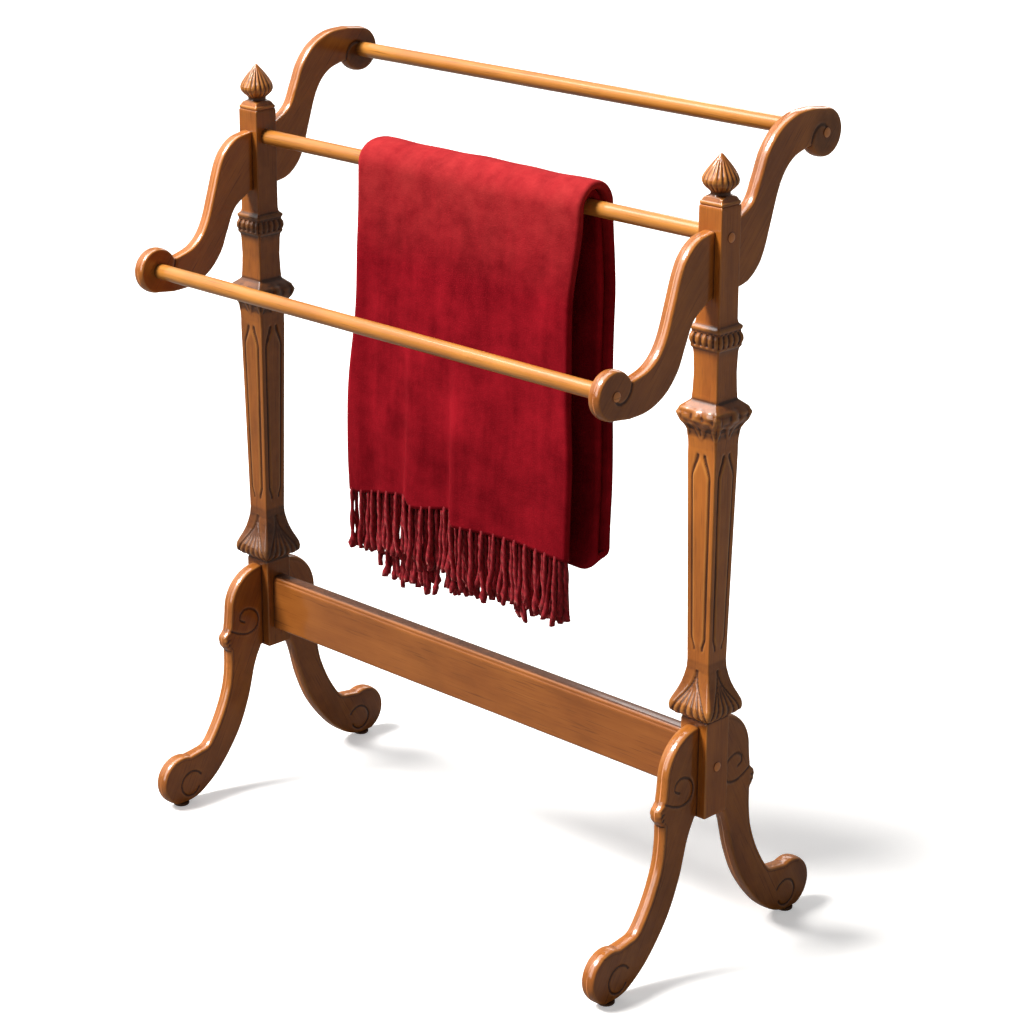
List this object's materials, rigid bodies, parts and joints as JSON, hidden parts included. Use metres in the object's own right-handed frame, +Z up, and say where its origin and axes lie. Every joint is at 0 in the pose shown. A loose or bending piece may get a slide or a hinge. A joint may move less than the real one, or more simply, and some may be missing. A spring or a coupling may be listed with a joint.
{
  "type": "quilt stand with throw",
  "caption": "Carved wooden quilt stand with three dowel rails at stepped heights on two posts, and a fringed red throw folded over the middle rail.",
  "frame": {"origin": "on the floor, midway between the posts and under the middle rail", "axes": "+X along the rails towards the right post, +Y to the back (the high rail), +Z up"},
  "size_m": [0.748, 0.37, 0.9129],
  "materials": {
    "carved_wood": "honey to red-brown stained hardwood, dark glaze in the carving, satin lacquer",
    "button_wood": "lighter turned wooden buttons, satin lacquer",
    "dowel_wood": "bare beech dowels inside the joints",
    "steel": "zinc-plated screws, bolts and barrel nuts",
    "glide": "dark brown nylon glide",
    "throw_cloth": "brushed crimson woven wool-like cloth with a short soft nap",
    "fringe_yarn": "twisted crimson yarn"
  },
  "bodies": {
    "rack": {"post_left": "carved_wood", "post_right": "carved_wood", "finial_left": "carved_wood", "finial_right": "carved_wood", "arm_front_left": "carved_wood", "arm_front_right": "carved_wood", "arm_rear_left": "carved_wood", "arm_rear_right": "carved_wood", "leg_front_left": "carved_wood", "leg_front_right": "carved_wood", "leg_rear_left": "carved_wood", "leg_rear_right": "carved_wood", "rail_front": "carved_wood", "rail_middle": "carved_wood", "rail_rear": "carved_wood", "stretcher": "carved_wood", "plug_front_rail_left": "button_wood", "plug_front_rail_right": "button_wood", "plug_middle_rail_left": "button_wood", "plug_middle_rail_right": "button_wood", "plug_rear_rail_left": "button_wood", "plug_rear_rail_right": "button_wood", "plug_stretcher_left": "button_wood", "plug_stretcher_right": "button_wood", "rail_screw_front_rail_left": "steel", "rail_screw_front_rail_right": "steel", "rail_screw_middle_rail_left": "steel", "rail_screw_middle_rail_right": "steel", "rail_screw_rear_rail_left": "steel", "rail_screw_rear_rail_right": "steel", "stretcher_bolt_left": "steel", "barrel_nut_left": "steel", "stretcher_bolt_right": "steel", "barrel_nut_right": "steel", "arm_dowel_front_left_1": "dowel_wood", "arm_dowel_front_left_2": "dowel_wood", "arm_dowel_front_right_1": "dowel_wood", "arm_dowel_front_right_2": "dowel_wood", "arm_dowel_rear_left_1": "dowel_wood", "arm_dowel_rear_left_2": "dowel_wood", "arm_dowel_rear_right_1": "dowel_wood", "arm_dowel_rear_right_2": "dowel_wood", "leg_dowel_front_left_1": "dowel_wood", "leg_dowel_front_left_2": "dowel_wood", "leg_dowel_front_right_1": "dowel_wood", "leg_dowel_front_right_2": "dowel_wood", "leg_dowel_rear_left_1": "dowel_wood", "leg_dowel_rear_left_2": "dowel_wood", "leg_dowel_rear_right_1": "dowel_wood", "leg_dowel_rear_right_2": "dowel_wood", "stretcher_dowel_left_1": "dowel_wood", "stretcher_dowel_left_2": "dowel_wood", "stretcher_dowel_right_1": "dowel_wood", "stretcher_dowel_right_2": "dowel_wood", "glide_front_left": "glide", "glide_front_right": "glide", "glide_rear_left": "glide", "glide_rear_right": "glide"},
    "throw": {"throw": "throw_cloth", "throw_fringe": "fringe_yarn"}
  },
  "joints": [
    {"name": "throw_lift", "type": "slide", "parent": "rack", "child": "throw", "axis": [0, 0, 1], "range_m": [0, 0.5]}
  ]
}
